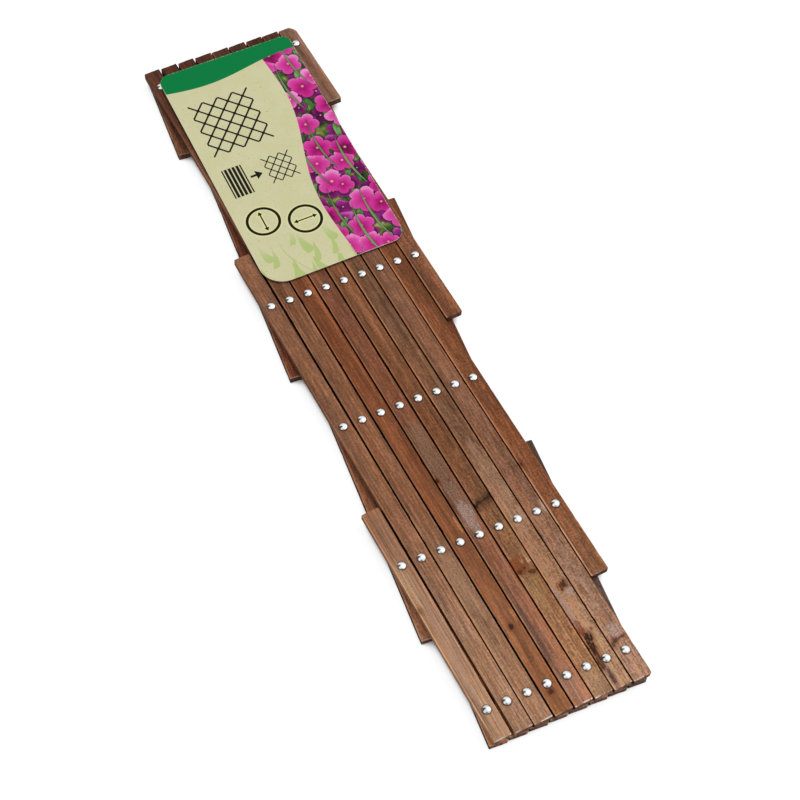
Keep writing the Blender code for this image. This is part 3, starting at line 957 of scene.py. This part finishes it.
# Bare kraft, with pulp flecks, and pale leaves near the foot.
fleck = on_card.speckle(0.55, 1.0)
mottle = on_card.speckle(0.04, 2.0)
print_color = (pulp.rise(0.4, 0.75) * 0.35).between(KRAFT, rgb(190, 186, 140))
print_color = (mottle.rise(0.4, 0.7) * 0.3).between(print_color, rgb(214, 212, 176))
print_color = (fleck.rise(0.71, 0.75) * 0.6).between(print_color, rgb(128, 112, 80))
stem = ink(abs(right + 30 + (up * 0.045).math("SINE") * 14) - 0.5)
sprig, _, _ = leaves(spacing=17, length=30, width=3.4, turn=math.radians(38), color=PALE_LEAF, seed=31)
sprig_back, _, _ = leaves(spacing=21, length=34, width=3.8, turn=math.radians(-48), color=PALE_LEAF, seed=12)
plants = stem.math("MAXIMUM", sprig).math("MAXIMUM", sprig_back)
low_down = (up + mottle * 26).rise(-76, -104)
print_color = (plants * low_down * 0.7).between(print_color, PALE_LEAF)

# The drawings: the opened trellis, the bundle that opens into it, and a ring for each way that it grows.
BAR_PITCH = 4.2
BAR_HALF_WIDTH = 1.45
STEP_Y = -14
TIP_X = -23.5
RING_RADIUS = 16.0
RING_HALF_LINE = 1.5
drawing = lattice(x=-27, y=60, half_width=33, half_height=36, cell_width=16.5, cell_height=18, line=0.95)
bars = abs((right / BAR_PITCH + 100).math("FRACT") - 0.5) * BAR_PITCH - BAR_HALF_WIDTH
bundle = bars.math("MAXIMUM", panel(x=-50.4, y=STEP_Y, half_width=10.5, half_height=19))
arrow_head = (abs(up - STEP_Y) - (TIP_X - right) * 0.8).math("MAXIMUM", TIP_X - 7 - right)
way_out = arrow_head.math("MINIMUM", panel(x=-33, y=STEP_Y, half_width=3.5, half_height=1.3))
opened = lattice(x=-4, y=STEP_Y, half_width=15, half_height=17, cell_width=10, cell_height=11.33, line=0.6)
drawing = drawing.math("MINIMUM", bundle).math("MINIMUM", way_out).math("MINIMUM", opened)
rings = None
for x, y, across in ((-47, -70, False), (-8, -84, True)):
    ring = abs(disc(x, y, RING_RADIUS)) - RING_HALF_LINE
    both = ring.math("MINIMUM", both_arrows(x, y, reach=12.5, across=across))
    rings = both if rings is None else rings.math("MINIMUM", both)
print_color = (ink(rings - 1.1, 0.9) * 0.8).between(print_color, HALO)
print_color = ink(drawing.math("MINIMUM", rings)).between(print_color, INK)

# The strip of blossoms down the right side, over dim foliage.
strip_edge = up * 0.085 + (up * 0.027).math("SINE") * 7 + 27
foliage = on_card.speckle(0.07, 2.0)
strip = foliage.ramp((
    (0.30, rgb(22, 40, 18)), (0.45, rgb(62, 92, 38)), (0.58, rgb(134, 142, 72)), (0.74, rgb(186, 178, 128)),
))
PURPLE = (
    (0.0, rgb(70, 6, 62)), (0.3, rgb(112, 14, 92)), (0.75, rgb(154, 34, 132)), (1.0, rgb(190, 96, 172)),
)
STALK = rgb(132, 170, 104)
PINK = (
    (0.0, rgb(110, 6, 70)), (0.3, rgb(186, 26, 124)), (0.72, rgb(212, 72, 160)), (1.0, rgb(230, 146, 200)),
)
for mask, shadow, color in (
    leaves(spacing=15, length=40, width=3.2, turn=math.radians(-14), color=rgb(74, 128, 62), seed=5),
    blossoms(spacing=19, size=10.5, turn=0.7, tones=PURPLE, seed=3),
    leaves(spacing=22, length=46, width=3.0, turn=math.radians(24), color=rgb(112, 170, 92), seed=8),
    blossoms(spacing=27, size=15.5, turn=0.2, tones=PINK, seed=7),
    leaves(spacing=31, length=74, width=1.0, turn=math.radians(-12), color=STALK, seed=4, curl=0.0035),
):
    strip = mask.between(shadow.between(strip, rgb(26, 22, 22)), color)
print_color = (right - strip_edge).rise(0.0, 0.3).between(print_color, strip)

# The green head lies over both.
head_edge = 121 + (right * 0.034 - 0.6).math("SINE") * 5.5
print_color = (up - head_edge).rise(0.0, 0.3).between(print_color, HEAD_GREEN)

# The print is scuffed along the card's edges, and the board's tooth shows in it.
half_width, half_length = CARD_WIDTH / 2 / MILLIMETRE, CARD_LENGTH / 2 / MILLIMETRE
to_edge = (half_width - abs(right)).math("MINIMUM", half_length - abs(up))
scuffed = to_edge.rise(1.1, 0.2) * pulp.rise(0.5, 0.62)
print_color = (scuffed * 0.6).between(print_color, rgb(232, 228, 206))
tooth = (pulp + foliage * 0.5).bump(0.12, 0.0002)
feed(shader, Base_Color=print_color, Roughness=0.42 + pulp * 0.12 + mottle * 0.08, Normal=tooth)
shader.inputs["Specular IOR Level"].default_value = 0.06
card.data.materials.append(printed)

bare, shader, place = new_finish("bare pulp")
fluff = place.speckle(1600.0, 3.0)
felt = place.speckle(60.0, 2.0)
grey = (fluff * 0.6 + felt * 0.4).rise(0.3, 0.7).between(rgb(206, 199, 178), rgb(226, 221, 203))
feed(shader, Base_Color=grey, Roughness=0.78 + fluff * 0.12, Normal=fluff.bump(0.3, 0.0002))
card.data.materials.append(bare)
